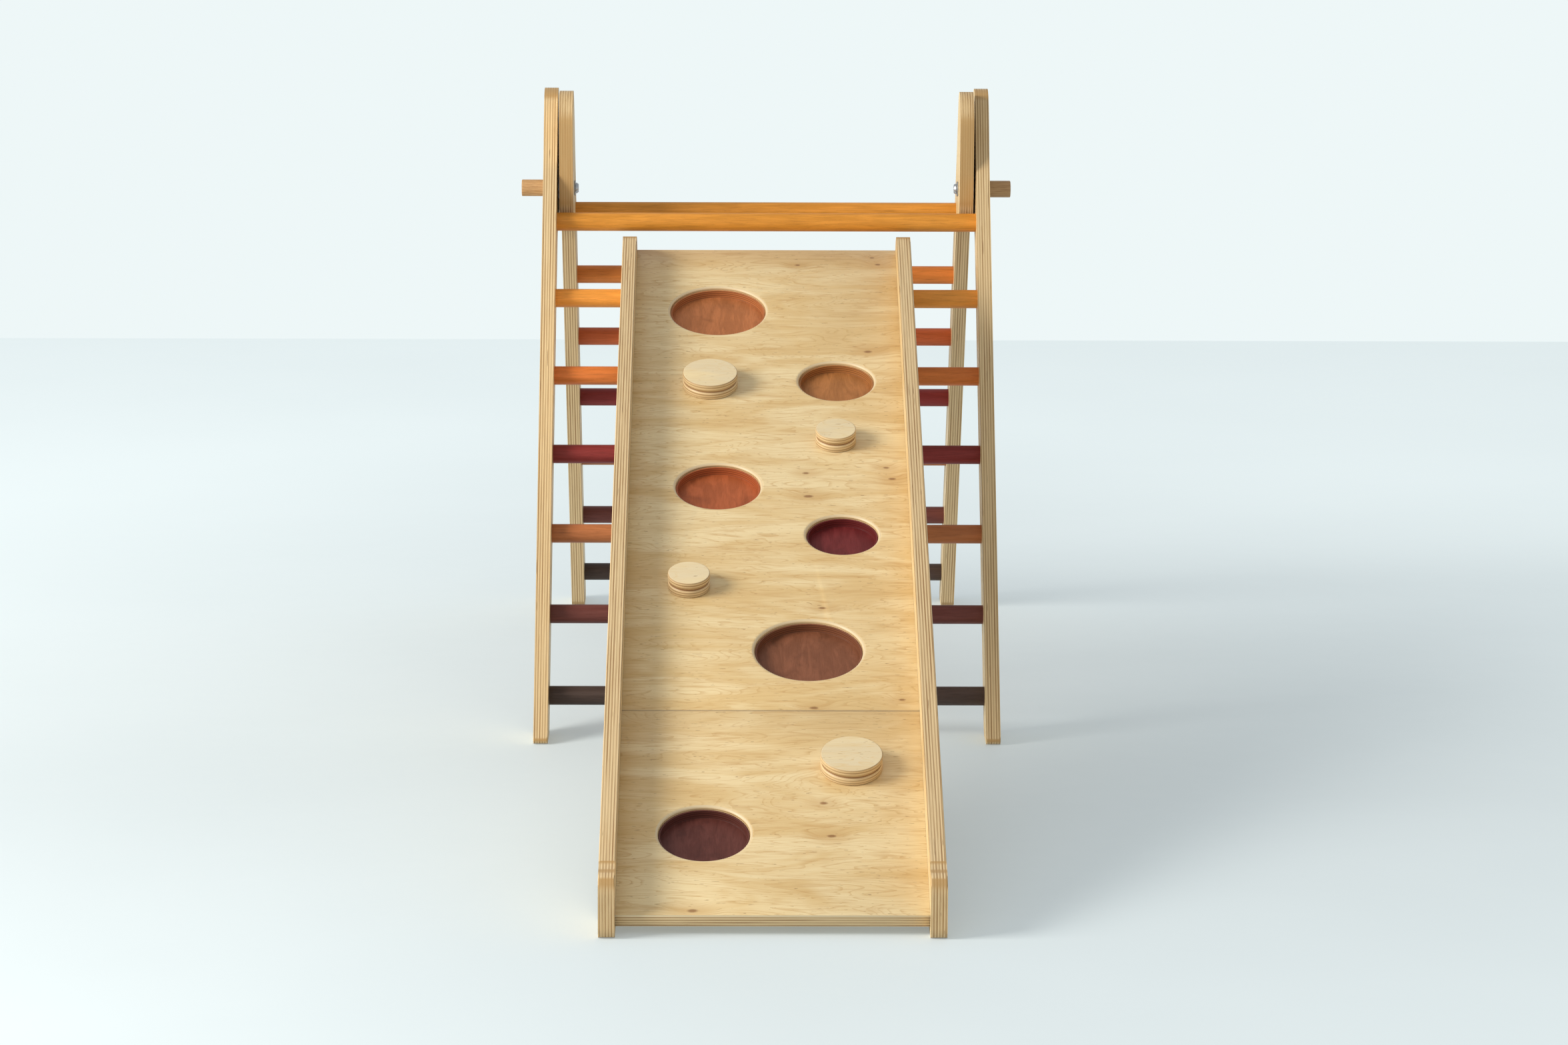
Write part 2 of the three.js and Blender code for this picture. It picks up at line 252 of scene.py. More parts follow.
def mesh_object(name, bm, place):
    bmesh.ops.recalc_face_normals(bm, faces=bm.faces)
    mesh = bpy.data.meshes.new(name)
    bm.to_mesh(mesh)
    bm.free()
    mesh.transform(Matrix.Scale(MM, 4) @ place)
    piece = bpy.data.objects.new(name, mesh)
    bpy.context.scene.collection.objects.link(piece)
    return piece


def smooth(piece, angle=SMOOTH_ANGLE):
    """Rounded shading that stays flat on flat faces."""
    for face in piece.data.polygons:
        face.use_smooth = True
    piece.data.set_sharp_from_angle(angle=math.radians(angle))
    weighted = piece.modifiers.new("flat_faces", "WEIGHTED_NORMAL")
    weighted.keep_sharp = True
    weighted.weight = 90
    return piece


def finish(piece, body, node, material):
    piece.data.materials.clear()
    piece.data.materials.append(material)
    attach(piece, body)
    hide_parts(node)
    return piece


def arc(centre, radius, start, end, step=6):
    count = max(2, round(abs(end - start) / step))
    angles = [math.radians(start + (end - start) * i / count) for i in range(count + 1)]
    return [(centre[0] + radius * math.cos(a), centre[1] + radius * math.sin(a)) for a in angles]


def bezier(*points, count=10):
    """A curve through the first and last points with the others as handles."""
    made = []
    for i in range(count + 1):
        t = i / count
        level = [Vector(p) for p in points]
        while len(level) > 1:
            level = [a.lerp(b, t) for a, b in zip(level, level[1:])]
        made.append(tuple(level[0]))
    return made


def without_repeats(points):
    kept = []
    for point in points:
        if not kept or math.dist(point, kept[-1]) > 0.02:
            kept.append(point)
    if math.dist(kept[0], kept[-1]) < 0.02:
        kept.pop()
    return kept


def plate(outline, start, thickness, round_edge):
    """An outline in y and z given thickness along x, with its long edges rounded over."""
    bm = bmesh.new()
    points = without_repeats(outline)
    near = [bm.verts.new((start, y, z)) for y, z in points]
    far = [bm.verts.new((start + thickness, y, z)) for y, z in points]
    caps = [bm.faces.new(near), bm.faces.new(list(reversed(far)))]
    for i in range(len(points)):
        j = (i + 1) % len(points)
        bm.faces.new((near[i], far[i], far[j], near[j]))
    rims = [edge for face in caps for edge in face.edges]
    bmesh.ops.bevel(
        bm, geom=rims, offset=round_edge, segments=3, profile=0.5, affect="EDGES", clamp_overlap=True
    )
    return bm


def turned(profile, segments, axis):
    """A round piece about x or z, from pairs of radius and station along the axis."""
    bm = bmesh.new()
    rings = []
    for radius, station in profile:
        if radius < 1e-6:
            rings.append([bm.verts.new(along_axis(0, 0, station, axis))])
            continue
        ring = []
        for i in range(segments):
            a = 2 * math.pi * i / segments
            ring.append(bm.verts.new(along_axis(radius * math.cos(a), radius * math.sin(a), station, axis)))
        rings.append(ring)
    for low, high in zip(rings, rings[1:]):
        join_rings(bm, low, high, segments)
    bmesh.ops.remove_doubles(bm, verts=bm.verts, dist=1e-4)
    return bm


def along_axis(a, b, station, axis):
    return (station, a, b) if axis == "X" else (a, b, station)


def join_rings(bm, low, high, segments):
    for i in range(segments):
        j = (i + 1) % segments
        corners = [low[i % len(low)], low[j % len(low)], high[j % len(high)], high[i % len(high)]]
        distinct = list(dict.fromkeys(corners))
        if len(distinct) > 2:
            bm.faces.new(distinct)


def rounded(profile, radius, segments=4):
    """A profile with its inner corners rounded off, for a turned piece."""
    made = [profile[0]]
    for before, corner, after in zip(profile, profile[1:], profile[2:]):
        b, c, a = Vector(before), Vector(corner), Vector(after)
        reach = min(radius, (b - c).length * 0.45, (a - c).length * 0.45)
        start = c + (b - c).normalized() * reach
        end = c + (a - c).normalized() * reach
        made += bezier(tuple(start), tuple(c), tuple(end), count=segments)
    return made + [profile[-1]]


def block(x, y, z):
    bm = bmesh.new()
    bmesh.ops.create_cube(bm, size=1)
    sizes = [high - low for low, high in (x, y, z)]
    middles = [(high + low) / 2 for low, high in (x, y, z)]
    bmesh.ops.scale(bm, vec=sizes, verts=bm.verts)
    bmesh.ops.translate(bm, vec=middles, verts=bm.verts)
    return bm


def cut(piece, cutters):
    """Takes the cutters out of the piece and removes them."""
    for cutter in cutters:
        modifier = piece.modifiers.new("cut", "BOOLEAN")
        modifier.operation = "DIFFERENCE"
        modifier.solver = "EXACT"
        modifier.object = cutter
    bpy.context.view_layer.update()
    graph = bpy.context.evaluated_depsgraph_get()
    made = bpy.data.meshes.new_from_object(piece.evaluated_get(graph))
    piece.modifiers.clear()
    piece.data = made
    for cutter in cutters:
        bpy.data.objects.remove(cutter)
    return piece


# ---- materials ----


class Nodes:
    """Short ways to build one material's node tree, for pieces that stand at one place."""

    def __init__(self, name, place=None):
        self.place_of_piece = place or Matrix.Identity(4)
        self.material = bpy.data.materials.new(name)
        self.material.use_nodes = True
        self.tree = self.material.node_tree
        self.tree.nodes.clear()
        self.output = self.add("ShaderNodeOutputMaterial")
        self.shader = self.add("ShaderNodeBsdfPrincipled")
        self.link(self.shader.outputs[0], self.output.inputs[0])
        self.coordinates = self.add("ShaderNodeTexCoord")

    def add(self, kind, **settings):
        node = self.tree.nodes.new(kind)
        for key, value in settings.items():
            setattr(node, key, value)
        return node

    def link(self, source, target):
        self.tree.links.new(source, target)

    def place(self, target, value):
        if isinstance(value, bpy.types.NodeSocket):
            self.link(value, target)
        else:
            target.default_value = value

    def math(self, operation, a, b=0.0, clamp=False):
        node = self.add("ShaderNodeMath", operation=operation, use_clamp=clamp)
        self.place(node.inputs[0], a)
        self.place(node.inputs[1], b)
        return node.outputs[0]

    def range(self, value, low, high, to_low=0.0, to_high=1.0, smooth=True):
        node = self.add("ShaderNodeMapRange", interpolation_type="SMOOTHSTEP" if smooth else "LINEAR")
        self.place(node.inputs[0], value)
        for i, number in enumerate((low, high, to_low, to_high)):
            node.inputs[i + 1].default_value = number
        return node.outputs[0]

    def mix(self, share, a, b):
        node = self.add("ShaderNodeMix", data_type="RGBA")
        self.place(node.inputs[0], share)
        self.place(node.inputs[6], a if isinstance(a, bpy.types.NodeSocket) else (*a, 1))
        self.place(node.inputs[7], b if isinstance(b, bpy.types.NodeSocket) else (*b, 1))
        return node.outputs[2]

    def position(self):
        """The coordinates of the ladder or slide that the piece belongs to, in millimetres."""
        location, rotation, _ = self.place_of_piece.decompose()
        node = self.add("ShaderNodeMapping", vector_type="TEXTURE")
        self.link(self.coordinates.outputs["Object"], node.inputs["Vector"])
        node.inputs["Location"].default_value = location * MM
        node.inputs["Rotation"].default_value = rotation.to_euler()
        node.inputs["Scale"].default_value = (MM, MM, MM)
        return node.outputs[0]

    def facing(self, axis):
        """How far the surface faces along one of those axes, from 0 to 1 either way."""
        node = self.add("ShaderNodeMapping", vector_type="TEXTURE")
        self.link(self.coordinates.outputs["Normal"], node.inputs["Vector"])
        node.inputs["Rotation"].default_value = self.place_of_piece.to_euler()
        return self.math("ABSOLUTE", self.split(node.outputs[0])[axis])

    def shifted(self, vector, offset):
        node = self.add("ShaderNodeVectorMath", operation="ADD")
        self.link(vector, node.inputs[0])
        node.inputs[1].default_value = offset
        return node.outputs[0]

    def stretched(self, vector, scale):
        node = self.add("ShaderNodeVectorMath", operation="MULTIPLY")
        self.link(vector, node.inputs[0])
        node.inputs[1].default_value = scale
        return node.outputs[0]

    def split(self, vector):
        node = self.add("ShaderNodeSeparateXYZ")
        self.link(vector, node.inputs[0])
        return node.outputs

    def noise(self, vector, scale=1.0, detail=3.0, roughness=0.55, distortion=0.0):
        node = self.add("ShaderNodeTexNoise")
        self.link(vector, node.inputs["Vector"])
        node.inputs["Scale"].default_value = scale
        node.inputs["Detail"].default_value = detail
        node.inputs["Roughness"].default_value = roughness
        node.inputs["Distortion"].default_value = distortion
        return node.outputs["Fac"]

    def bump(self, height, strength, distance=0.0003):
        node = self.add("ShaderNodeBump")
        node.inputs["Strength"].default_value = strength
        node.inputs["Distance"].default_value = distance
        self.link(height, node.inputs["Height"])
        self.link(node.outputs[0], self.shader.inputs["Normal"])

    def surface(self, colour, roughness, metallic=0.0, coat=0.0, coat_roughness=0.2, gloss=0.3):
        self.place(self.shader.inputs["Base Color"], colour)
        self.place(self.shader.inputs["Roughness"], roughness)
        self.shader.inputs["Metallic"].default_value = metallic
        self.shader.inputs["Specular IOR Level"].default_value = gloss
        self.shader.inputs["Coat Weight"].default_value = coat
        self.shader.inputs["Coat Roughness"].default_value = coat_roughness
        return self.material


def layer_colour(n, depth, position, layer, across, long_axis):
    """The cut edge of plywood: alternate light and dark layers with fine glue lines and a few voids."""
    scale = [0.02, 0.02, 0.02]
    scale[across] = 0.35
    scale[long_axis] = 0.0055
    streak = n.noise(n.stretched(position, scale), 1.0, 4.0, 0.6)
    fine_scale = [0.05, 0.05, 0.05]
    fine_scale[across] = 1.8
    fine_scale[long_axis] = 0.02
    fine = n.noise(n.stretched(position, fine_scale), 1.0, 3.0, 0.7)
    count = n.math("DIVIDE", depth, layer)
    wobbled = n.math("ADD", count, n.math("MULTIPLY", n.math("SUBTRACT", streak, 0.5), 0.14))
    phase = n.math("FRACT", n.math("MULTIPLY", wobbled, 0.5))
    dark = n.range(n.math("ABSOLUTE", n.math("SUBTRACT", phase, 0.5)), 0.20, 0.29)
    fraction = n.math("FRACT", wobbled)
    line = n.range(n.math("ABSOLUTE", n.math("SUBTRACT", fraction, 0.5)), 0.40, 0.495)
    colour = n.mix(n.math("MULTIPLY", dark, n.range(streak, 0.34, 0.66, 0.35, 0.92)), LAYER_LIGHT, LAYER_DARK)
    colour = n.mix(n.range(fine, 0.40, 0.72, 0.0, 0.35), colour, TOASTED)
    colour = n.mix(n.math("MULTIPLY", line, n.range(fine, 0.35, 0.62, 0.12, 0.62)), colour, GLUE)
    void_scale = [0.06, 0.06, 0.06]
    void_scale[across] = 0.9
    void_scale[long_axis] = 0.022
    gaps = n.noise(n.stretched(n.shifted(position, (31, 17, 5)), void_scale), 1.0, 1.0, 0.4)
    void = n.range(gaps, 0.74, 0.79)
    return n.mix(n.math("MULTIPLY", void, 0.85), colour, GLUE), fine


def veneer_colour(n, position, along, pale=PALE, honey=HONEY, toasted=TOASTED):
    """A birch face: broad bands and waves of tone, fine lines along the grain, and small dark flecks."""

    def stretch(across_scale, along_scale):
        scale = [across_scale, across_scale, across_scale]
        scale[along] = along_scale
        return n.stretched(position, scale)

    broad = n.noise(stretch(0.020, 0.0055), 1.0, 3.0, 0.55, 0.9)
    wave = n.noise(stretch(0.075, 0.010), 1.0, 4.0, 0.6, 1.3)
    fine = n.noise(stretch(0.85, 0.030), 1.0, 4.0, 0.65, 0.3)
    fleck = n.noise(n.shifted(stretch(0.75, 0.11), (7, 3, 9)), 1.0, 1.0, 0.4)
    colour = n.mix(n.range(broad, 0.36, 0.66), pale, honey)
    colour = n.mix(n.range(wave, 0.50, 0.74, 0.0, 0.46), colour, toasted)
    colour = n.mix(n.range(fine, 0.50, 0.78, 0.0, 0.48), colour, toasted)
    flow = n.noise(n.shifted(stretch(0.026, 0.0042), (3, 8, 1)), 1.0, 2.0, 0.45, 0.7)
    ring = n.math("FRACT", n.math("MULTIPLY", flow, 24))
    line = n.math("MULTIPLY", n.range(ring, 0.0, 0.34, 1.0, 0.0), n.range(fine, 0.36, 0.62, 0.18, 0.60))
    colour = n.mix(line, colour, toasted)
    colour = n.mix(n.range(fleck, 0.72, 0.775, 0.0, 0.72), colour, FLECK_AND_SHADE)
    return colour, fine


def ply_material(name, place, across, long_axis, thickness_start, layer=PLY_LAYER, pale=PALE, honey=HONEY):
    """Plywood whose layers are stacked along the axis across, with veneer on its two faces."""
    n = Nodes(name, place)
    position = n.position()
    depth = n.math("SUBTRACT", n.split(position)[across], thickness_start)
    edge, fine_edge = layer_colour(n, depth, position, layer, across, long_axis)
    tilt = n.facing(long_axis)
    # darkest where an edge slopes half way round: painted shade on rounded ends, partly darker end grain
    end_grain_and_shade = n.math("MULTIPLY", n.range(tilt, 0.12, 0.34), n.range(tilt, 0.62, 0.90, 1.0, 0.25))
    edge = n.mix(n.math("MULTIPLY", end_grain_and_shade, 0.78), edge, END_GRAIN_AND_SHADE)
    face, fine_face = veneer_colour(n, position, long_axis, pale, honey)
    colour = n.mix(n.range(n.facing(across), 0.80, 0.93), edge, face)
    n.bump(n.math("ADD", n.math("MULTIPLY", fine_edge, 0.7), n.math("MULTIPLY", fine_face, 0.3)), 0.22)
    return n.surface(colour, n.range(fine_face, 0.3, 0.7, 0.40, 0.54, False), coat=0.03, coat_roughness=0.35)


def knot_mask(n, position, knots):
    """Two masks round the nearest knot: its dark heart, and the wider halo where the grain bends."""
    wander = n.noise(n.stretched(position, (0.07, 0.07, 0.07)), 1.0, 2.0)
    shift = n.math("MULTIPLY", n.math("SUBTRACT", wander, 0.5), 5.0)
    x, y, _ = n.split(position)
    nearest = None
    for across, along, size in knots:
        dx = n.math("DIVIDE", n.math("ADD", n.math("SUBTRACT", x, across), shift), 1.75)
        dy = n.math("SUBTRACT", y, along)
        far = n.math("SQRT", n.math("ADD", n.math("MULTIPLY", dx, dx), n.math("MULTIPLY", dy, dy)))
        near = n.math("DIVIDE", far, size)
        nearest = near if nearest is None else n.math("MINIMUM", nearest, near)
    heart = n.range(nearest, 0.30, 0.85, 1.0, 0.0)
    halo = n.range(nearest, 0.9, 4.5, 1.0, 0.0)
    return heart, halo


def board_material():
    """The sliding board: birch veneer with its grain across, knots, and bare layers at its cut edges."""
    n = Nodes("board_birch", slide_place())
    position = n.position()
    heart, halo = knot_mask(n, position, KNOTS)
    swirled = n.add("ShaderNodeVectorMath", operation="ADD")
    bend = n.add("ShaderNodeCombineXYZ")
    n.place(bend.inputs[1], n.math("MULTIPLY", halo, 7.0))
    n.link(position, swirled.inputs[0])
    n.link(bend.outputs[0], swirled.inputs[1])
    face, fine = veneer_colour(n, swirled.outputs[0], 0)
    face = n.mix(n.math("MULTIPLY", halo, 0.38), face, TOASTED)
    face = n.mix(n.math("MULTIPLY", heart, 0.78), face, KNOT)
    to_seam = n.math("ABSOLUTE", n.math("SUBTRACT", n.split(position)[1], SEAM + GAP / 2))
    face = n.mix(n.range(to_seam, 0.7, 1.5, 0.88, 0.0), face, GLUE)
    depth = n.math("SUBTRACT", FACE, n.split(position)[2])
    cut_edge, _ = layer_colour(n, depth, position, BOARD_LAYER, 2, 0)
    lip = n.mix(n.range(depth, 1.2, 3.0, 0.25, 1.0), CREAM, cut_edge)
    up = n.facing(2)
    front = n.range(n.facing(1), 0.995, 0.9995)
    at_toe = n.range(n.split(position)[1], BOARD_TOE + 3, BOARD_TOE + 1, 0.0, 1.0)
    side = n.mix(n.math("MULTIPLY", front, at_toe), lip, cut_edge)
    n.bump(fine, 0.14)
    roughness = n.range(fine, 0.3, 0.7, 0.36, 0.47, False)
    return n.surface(n.mix(n.range(up, 0.90, 0.992), side, face), roughness, coat=0.05, coat_roughness=0.28)


def rung_material(stain):
    """Stained hardwood rod: lengthwise grain, darker streaks and short pores under a satin finish."""
    base = STAINS[stain]
    deep = tuple(c * 0.55 for c in base)
    light = tuple(min(1.0, c * 1.22 + 0.006) for c in base)
    n = Nodes("rung_" + stain)
    position = n.position()
    band = n.noise(n.stretched(position, (0.012, 0.14, 0.14)), 1.0, 3.0, 0.55, 0.6)
    grain = n.noise(n.stretched(position, (0.035, 0.9, 0.9)), 1.0, 4.0, 0.65)
    pore = n.noise(n.stretched(position, (0.14, 2.2, 2.2)), 1.0, 2.0, 0.5)
    colour = n.mix(n.range(band, 0.34, 0.68), base, light)
    colour = n.mix(n.range(grain, 0.48, 0.74, 0.0, 0.62), colour, deep)
    colour = n.mix(n.range(pore, 0.62, 0.74, 0.0, 0.45), colour, deep)
    n.bump(n.math("ADD", grain, n.math("MULTIPLY", pore, 0.6)), 0.26)
    roughness = n.range(grain, 0.3, 0.7, 0.36, 0.52, False)
    return n.surface(colour, roughness, coat=0.03, coat_roughness=0.3, gloss=0.22)


def cup_material(stain):
    """A stained pocket: mottled veneer on its floor and tinted layers round its wall."""
    base = CUP_STAINS[stain]
    deep = tuple(c * 0.52 for c in base)
    light = tuple(min(1.0, c * 1.3 + 0.004) for c in base)
    n = Nodes("cup_" + stain, slide_place())
    position = n.position()
    figure = n.noise(n.stretched(position, (0.075, 0.017, 0.075)), 1.0, 4.0, 0.6, 1.2)
    blotch = n.noise(n.stretched(position, (0.032, 0.032, 0.032)), 1.0, 3.0, 0.6, 0.5)
    fine = n.noise(n.stretched(position, (0.95, 0.07, 0.95)), 1.0, 4.0, 0.65)
    floor = n.mix(n.range(figure, 0.36, 0.68), base, light)
    floor = n.mix(n.range(blotch, 0.50, 0.74, 0.0, 0.45), floor, deep)
    floor = n.mix(n.range(fine, 0.50, 0.76, 0.0, 0.38), floor, deep)
    depth = n.math("DIVIDE", n.math("SUBTRACT", FACE, n.split(position)[2]), CUP_LAYERS)
    stripe = n.range(n.math("ABSOLUTE", n.math("SUBTRACT", n.math("FRACT", depth), 0.5)), 0.18, 0.30)
    wall = n.mix(n.math("MULTIPLY", stripe, 0.75), light, deep)
    up = n.range(n.facing(2), 0.75, 0.95)
    n.bump(fine, 0.22)
    roughness = n.range(fine, 0.3, 0.7, 0.40, 0.54, False)
    return n.surface(n.mix(up, wall, floor), roughness, coat=0.02, coat_roughness=0.3, gloss=0.2)


def hold_material():
    """A turned plywood disc: pale veneer on top, layers round its side and shade in the groove."""
    n = Nodes("hold_birch", slide_place())
    position = n.position()
    face, fine = veneer_colour(n, position, 0, CREAM, PALE, HONEY)
    height = n.math("SUBTRACT", n.split(position)[2], FACE)
    edge, _ = layer_colour(n, height, position, BOARD_LAYER, 2, 0)
    edge = n.mix(0.10, edge, CREAM)
    # painted shade on the side round the groove at the disc's waist
    from_groove = n.math("ABSOLUTE", n.math("SUBTRACT", height, HOLD_HEIGHT * 0.5 + GAP))
    groove = n.range(from_groove, 0.5, 2.0, 0.72, 0.0)
    edge = n.mix(groove, edge, FLECK_AND_SHADE)
    up = n.range(n.facing(2), 0.80, 0.97)
    n.bump(fine, 0.14)
    roughness = n.range(fine, 0.3, 0.7, 0.38, 0.5, False)
    return n.surface(n.mix(up, edge, face), roughness, coat=0.04, coat_roughness=0.3)


def knob_material():
    """A plain beech rod with its grain lengthwise."""
    n = Nodes("knob_beech")
    position = n.position()
    grain = n.noise(n.stretched(position, (0.045, 0.8, 0.8)), 1.0, 4.0, 0.65)
    fleck = n.noise(n.stretched(position, (0.30, 2.0, 2.0)), 1.0, 2.0, 0.5)
    colour = n.mix(n.range(grain, 0.36, 0.68), (0.50, 0.305, 0.145), (0.36, 0.20, 0.085))
    colour = n.mix(n.range(fleck, 0.60, 0.72, 0.0, 0.5), colour, FLECK_AND_SHADE)
    n.bump(grain, 0.28)
    return n.surface(colour, n.range(grain, 0.3, 0.7, 0.45, 0.58, False), coat=0.05, coat_roughness=0.4)


def steel_material():
    """Zinc-plated steel, faintly brushed."""
    n = Nodes("zinc_steel")
    position = n.position()
    brushed = n.noise(n.stretched(position, (3.0, 0.5, 0.5)), 1.0, 3.0, 0.6)
    cloud = n.noise(n.stretched(position, (0.15, 0.15, 0.15)), 1.0, 2.0, 0.5)
    colour = n.mix(n.range(cloud, 0.35, 0.65), (0.56, 0.58, 0.60), (0.44, 0.46, 0.49))
    n.bump(brushed, 0.12, 0.0001)
    return n.surface(colour, n.range(brushed, 0.3, 0.7, 0.26, 0.42, False), metallic=1.0, gloss=0.5)


# ---- ladders ----


def floor_at(y):
    return -(PIVOT_HEIGHT + y * math.sin(SPREAD)) / math.cos(SPREAD)


def rail_outline():
    reach = math.hypot(RUNG_LINE, CROWN_RISE)
    lean = math.atan2(CROWN_RISE, RUNG_LINE)
    tangent = math.degrees(lean + math.acos((HEAD_RADIUS - CROWN_RADIUS) / reach))
    outer = RUNG_LINE + CROWN_RADIUS
    head = arc((0, 0), HEAD_RADIUS, tangent, 255)
    return [
        *bezier((0, floor_at(0) + FOOT_ROUND), (0, floor_at(0)), (FOOT_ROUND, floor_at(FOOT_ROUND))),
        *bezier(
            (LEG_WIDTH - FOOT_ROUND, floor_at(LEG_WIDTH - FOOT_ROUND)),
            (LEG_WIDTH, floor_at(LEG_WIDTH)),
            (LEG_WIDTH, floor_at(LEG_WIDTH) + FOOT_ROUND),
        ),
        *bezier((LEG_WIDTH, 0), (LEG_WIDTH, FLARE_LOW), (outer, FLARE_HIGH), (outer, CROWN_RISE), count=16),
        *arc((RUNG_LINE, CROWN_RISE), CROWN_RADIUS, 0, tangent),
        *head,
        *bezier(head[-1], (0, -HEAD_RADIUS - 2), (0, -HEAD_RADIUS - 40), count=12),
    ]


def make_ladder(prefix, body, inner, side, materials):
    """side is -1 for the front ladder, which is turned half round, and 1 for the rear one."""
    place = ladder_place(side)
    for name, sign in (("left", -side), ("right", side)):
        start = inner if sign > 0 else -inner - PLY
        piece = mesh_object(f"{prefix}_side_{name}", plate(rail_outline(), start, PLY, PLY_EDGE_ROUND), place)
        smooth(piece)
        finish(piece, body, f"{prefix}_rail_{name}", materials[f"{prefix}_{name}"])
    half = inner + SOCKET_DEPTH - GAP
    for i in range(RUNG_COUNT):
        profile = rounded([(0, -half), (RUNG_RADIUS, -half), (RUNG_RADIUS, half), (0, half)], 1)
        at = place @ Matrix.Translation((0, RUNG_LINE, rung_height(i)))
        at = at @ Matrix.Rotation(0.4 * i, 4, "X")
        piece = mesh_object(f"{prefix}_rod_{i + 1}", turned(profile, ROD_SEGMENTS, "X"), at)
        smooth(piece)
        stain = RUNG_STAINS[i]
        # the rear rods take the copies, which carry painted shade as well as a redder tint
        look = REAR_TINT_AND_SHADE.get(stain, stain) if side > 0 else stain
        finish(piece, body, f"{prefix}_rung_{i + 1}", materials["rung_" + look])


# ---- pivot hardware ----


def make_pivot_set(name, side, materials):
    """The clamp bolt, its washers and its wooden knob, drawn for the right side and turned for the left."""
    outer = FRAME_WIDTH / 2
    washer_end = outer - 2 * PLY - LADDER_GAP - GAP
    head_end = washer_end - WASHER - GAP
    knob_start = outer + GAP
    knob_end = knob_start + KNOB_LENGTH
    bolt_end = knob_start + BOLT_IN_KNOB
    spacer = outer - PLY - LADDER_GAP + GAP
    bore = BOLT_RADIUS + GAP
    place = Matrix.Translation(pivot())
    if side < 0:
        place = place @ Matrix.Rotation(math.pi, 4, "Z")
    socket = [(0, head_end - BOLT_HEAD + 2), (2.9, head_end - BOLT_HEAD + 2), (3.1, head_end - BOLT_HEAD)]
    head = [(BOLT_HEAD_RADIUS - 1.5, head_end - BOLT_HEAD), (BOLT_HEAD_RADIUS, head_end - 1)]
    shank = [(BOLT_HEAD_RADIUS, head_end), (BOLT_RADIUS, head_end), (BOLT_RADIUS, bolt_end), (0, bolt_end)]
    bolt = turned(rounded(socket + head + shank, 0.6), 40, "X")
    rings = {
        f"bolt_washer_{name}": (WASHER_RADIUS, washer_end - WASHER, washer_end),
        f"spacer_washer_{name}": (SPACER_RADIUS, spacer, spacer + LADDER_GAP - 2 * GAP),
    }
    steel = materials["steel"]
    piece = smooth(mesh_object(f"clamp_bolt_{name}", bolt, place))
    finish(piece, "front_ladder", f"pivot_bolt_{name}", steel)
    for node, (radius, low, high) in rings.items():
        profile = [(bore, low), (radius - 0.3, low), (radius, low + 0.3), (radius, high - 0.3)]
        profile += [(radius - 0.3, high), (bore, high), (bore, low)]
        piece = smooth(mesh_object(node.replace("washer", "ring"), turned(profile, ROD_SEGMENTS, "X"), place))
        finish(piece, "front_ladder", node, steel)
    outside = [(bore, knob_start), (KNOB_RADIUS, knob_start), (KNOB_RADIUS, knob_end), (0, knob_end)]
    inside = [(0, bolt_end + 1), (bore, bolt_end + 1), (bore, knob_start)]
    profile = rounded(outside, 1.5, 5) + inside
    piece = smooth(mesh_object(f"peg_{name}", turned(profile, ROD_SEGMENTS, "X"), place))
    finish(piece, f"knob_{name}", f"clamp_knob_{name}", materials["knob"])


# ---- slide ----


def from_level(forward, height):
    """A point given level, as distance from the hooked rung and height over the floor."""
    rise = height - hook_place()[1]
    return (
        -forward * math.cos(SLOPE) + rise * math.sin(SLOPE),
        forward * math.sin(SLOPE) + rise * math.cos(SLOPE),
    )


def slide_rail_outline():
    toe = TOE_ROUND
    notch = RUNG_RADIUS + HOOK_CLEARANCE
    heel = (UNDERSIDE * math.cos(SLOPE) + hook_place()[1]) / math.sin(SLOPE)
    nose = from_level(TOE_REACH - 2 * toe, TOE_HEIGHT)
    flat_end = from_level(TOE_REACH - 2 * toe - TOE_FLAT, TOE_HEIGHT)[0]
    return [
        (-heel, UNDERSIDE),
        *bezier(from_level(TOE_REACH - toe, 0), from_level(TOE_REACH, 0), from_level(TOE_REACH, toe)),
        *bezier(from_level(TOE_REACH, TOE_HEIGHT - 2 * toe), from_level(TOE_REACH, TOE_HEIGHT), nose),
        *bezier(nose, from_level(TOE_REACH - 3 * toe, TOE_HEIGHT), (flat_end, RIM)),
        *arc((SLIDE_TOP - TOP_ROUND, RIM - TOP_ROUND), TOP_ROUND, 90, 0),
        *bezier((SLIDE_TOP, UNDERSIDE + toe), (SLIDE_TOP, UNDERSIDE), (SLIDE_TOP - toe, UNDERSIDE)),
        (notch, UNDERSIDE),
        *arc((0, 0), notch, 0, 180),
        (-notch, UNDERSIDE),
    ]


def make_slide_rail(name, side, place, material):
    inner = SLIDE_WIDTH / 2 - PLY
    start = inner if side > 0 else -inner - PLY
    piece = mesh_object(f"slide_side_{name}", plate(slide_rail_outline(), start, PLY, PLY_EDGE_ROUND), place)
    across = sorted((side * (inner - 2), side * (inner + GROOVE)))
    groove = block(across, (BOARD_TOE - 2, SLIDE_TOP + 4), (FACE - BOARD - GAP, FACE + GAP))
    cut(piece, [mesh_object("groove", groove, place)])
    smooth(piece)
    finish(piece, "slide", f"slide_rail_{name}", material)


def pocket_cutter(radius):
    """Straight walls and a mouth rounded over to the board's face."""
    mouth = arc((radius + MOUTH_ROUND, FACE - MOUTH_ROUND), MOUTH_ROUND, 180, 90, 15)
    profile = [(0, FACE - BOARD - 1), (radius, FACE - BOARD - 1), *mouth]
    profile += [(radius + MOUTH_ROUND, FACE + 1), (0, FACE + 1)]
    return turned(profile, DISC_SEGMENTS, "Z")


